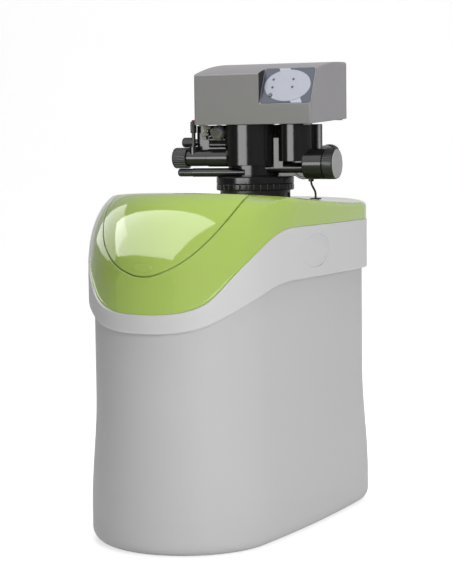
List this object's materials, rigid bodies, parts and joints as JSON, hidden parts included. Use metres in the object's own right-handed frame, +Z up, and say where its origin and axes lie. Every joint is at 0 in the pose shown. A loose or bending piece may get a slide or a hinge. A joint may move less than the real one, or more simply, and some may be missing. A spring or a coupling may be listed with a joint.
{
  "type": "cabinet water softener",
  "caption": "Cabinet water softener: grey flared tub, wavy rim, glossy green hood with hinged salt lid, black piston valve on the vessel's neck and a covered control head.",
  "frame": {"origin": "on the floor under the middle of the cabinet's footprint", "axes": "+Z up, -Y towards the front with the salt lid, +X to the right seen from the front"},
  "size_m": [0.273, 0.4787, 0.5881],
  "materials": {
    "grey_shell": "satin moulded grey",
    "rim_grey": "satin moulded light grey",
    "green_gloss": "glossy moulded green",
    "black_gloss": "glossy moulded black",
    "black_cap": "satin black",
    "disc_grey": "matt light grey",
    "cover_grey": "satin dark grey",
    "panel_print": "printed film",
    "oval_print": "printed film",
    "led_lens": "clear lens",
    "button": "satin",
    "white_plastic": "satin white",
    "clear_cap": "smoky clear",
    "red_tip": "satin red",
    "lead_rubber": "dark rubber",
    "vessel_wound": "wound glass-fibre, painted",
    "foot_black": "matt black",
    "resin": "fine amber beads",
    "tube_white": "white pipe",
    "seal_rubber": "rubber",
    "steel": "zinc-plated",
    "gear_white": "acetal",
    "board": "coated board",
    "float_white": "foamed"
  },
  "bodies": {
    "cabinet": {"cabinet_tub": "grey_shell", "cover_rim": "rim_grey", "hood": "green_gloss", "lid_hinge_pins": "steel", "resin_vessel": "vessel_wound", "vessel_foot": "foot_black", "resin_bed": "resin", "distributor_tube": "tube_white", "bottom_basket": "tube_white", "neck_collar": "black_cap", "tank_nut": "black_gloss", "valve_body": "black_gloss", "injector_cap": "clear_cap", "cylinder_caps": "black_gloss", "pilot_fittings": "white_plastic", "base_plate": "black_cap", "cap_screws": "steel", "cover_clips": "white_plastic", "pilot_block": "gear_white", "drive_motor": "steel", "sensor_lead": "lead_rubber", "lead_grommet": "lead_rubber", "lead_plug": "black_cap", "brine_well": "tube_white", "float_seat": "black_cap", "float_rod": "tube_white", "brine_riser": "tube_white", "brine_elbow": "black_cap", "elbow_nut": "black_cap", "overflow_elbow": "black_cap", "overflow_nut": "black_cap"},
    "salt_lid": {"salt_lid": "green_gloss", "lid_badge": "green_gloss"},
    "outlet_cap": {"outlet_cap": "black_cap", "outlet_disc": "disc_grey"},
    "inlet_cap": {"inlet_cap": "black_cap"},
    "drain_cap": {"drain_cap": "black_cap"},
    "brine_cap": {"brine_cap": "black_cap"},
    "service_cap": {"service_cap": "black_cap"},
    "blend_spindle": {"blend_spindle": "black_cap", "spindle_tip": "red_tip"},
    "piston_main": {"piston_main": "gear_white", "seal_main": "seal_rubber"},
    "piston_side": {"piston_side": "gear_white", "seal_side": "seal_rubber"},
    "head_cover": {"head_cover": "cover_grey", "panel_plate": "panel_print", "panel_oval": "oval_print", "led_lenses": "led_lens", "control_board": "board", "button_switch": "black_cap"},
    "start_button": {"start_button": "button"},
    "pilot_disc": {"pilot_disc": "gear_white"},
    "motor_pinion": {"motor_pinion": "gear_white"},
    "well_cap": {"well_cap": "black_cap"},
    "brine_float": {"brine_float": "float_white"}
  },
  "joints": [
    {"name": "salt_lid_hinge", "type": "hinge", "parent": "cabinet", "child": "salt_lid", "pos_m": [0, -0.067, 0.4095], "axis": [-1, 0, 0], "range_deg": [0, 100]},
    {"name": "head_cover_lift", "type": "slide", "parent": "cabinet", "child": "head_cover", "axis": [0, 0, 1], "range_m": [0, 0.12]},
    {"name": "start_button_press", "type": "slide", "parent": "head_cover", "child": "start_button", "axis": [0, 0.9057, -0.4239], "range_m": [0, 0.0008], "stiffness_N_per_m": 300},
    {"name": "blend_spindle_turn", "type": "hinge", "parent": "cabinet", "child": "blend_spindle", "pos_m": [-0.074, 0.081, 0.49], "axis": [0, 0, 1], "range_deg": [0, 270]},
    {"name": "outlet_cap_pull", "type": "slide", "parent": "cabinet", "child": "outlet_cap", "axis": [1, 0, 0], "range_m": [0, 0.03]},
    {"name": "inlet_cap_pull", "type": "slide", "parent": "cabinet", "child": "inlet_cap", "axis": [0, 1, 0], "range_m": [0, 0.03]},
    {"name": "drain_cap_pull", "type": "slide", "parent": "cabinet", "child": "drain_cap", "axis": [-1, 0, 0], "range_m": [0, 0.03]},
    {"name": "brine_cap_pull", "type": "slide", "parent": "cabinet", "child": "brine_cap", "axis": [-1, 0, 0], "range_m": [0, 0.03]},
    {"name": "service_cap_pull", "type": "slide", "parent": "cabinet", "child": "service_cap", "axis": [-1, 0, 0], "range_m": [0, 0.03]},
    {"name": "piston_main_stroke", "type": "slide", "parent": "cabinet", "child": "piston_main", "axis": [0, 0, 1], "range_m": [0, 0.0135]},
    {"name": "piston_side_stroke", "type": "slide", "parent": "cabinet", "child": "piston_side", "axis": [0, 0, 1], "range_m": [0, 0.0135]},
    {"name": "pilot_disc_spin", "type": "hinge", "parent": "cabinet", "child": "pilot_disc", "pos_m": [-0.022, 0.147, 0.5365], "axis": [0, 0, 1], "continuous": true},
    {"name": "motor_pinion_spin", "type": "hinge", "parent": "cabinet", "child": "motor_pinion", "pos_m": [0.008, 0.147, 0.5365], "axis": [0, 0, 1], "continuous": true},
    {"name": "well_cap_lift", "type": "slide", "parent": "cabinet", "child": "well_cap", "axis": [0, 0, 1], "range_m": [0, 0.04]},
    {"name": "float_rise", "type": "slide", "parent": "cabinet", "child": "brine_float", "axis": [0, 0, 1], "range_m": [0, 0.05]}
  ],
  "couplings": [
    {"joint": "motor_pinion_spin", "follows": "pilot_disc_spin", "ratio": -4}
  ]
}
